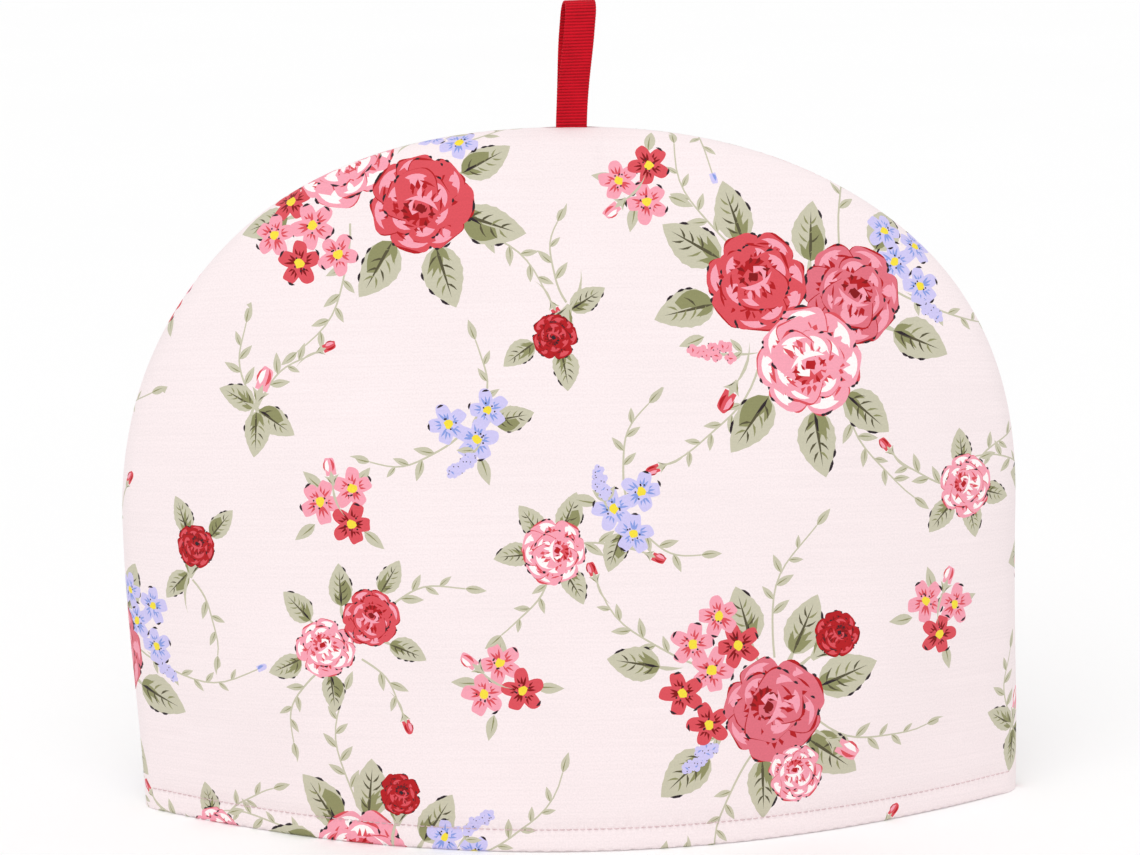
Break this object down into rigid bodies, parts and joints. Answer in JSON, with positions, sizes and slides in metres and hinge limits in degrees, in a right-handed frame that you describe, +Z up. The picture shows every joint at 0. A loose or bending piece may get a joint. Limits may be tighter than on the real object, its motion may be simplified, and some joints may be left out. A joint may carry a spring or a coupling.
{
  "type": "tea cosy",
  "caption": "Dome-shaped padded cotton tea cosy with a floral print, a stitched hem and a red ribbon loop; it covers a teapot to keep it warm.",
  "frame": {"origin": "on the surface it stands on, at the middle of the hem", "axes": "+Z up; +X across the panels, to the right of someone who faces the front panel; the front panel faces -Y"},
  "size_m": [0.341, 0.1362, 0.307],
  "materials": {
    "printed_cotton": "smooth plain-weave cotton, pale pink ground with a scattered floral print, matte",
    "red_grosgrain": "ribbed grosgrain ribbon, soft satin"
  },
  "bodies": {
    "root": {"front_panel": "printed_cotton", "back_panel": "printed_cotton", "ribbon_loop": "red_grosgrain"}
  },
  "joints": []
}
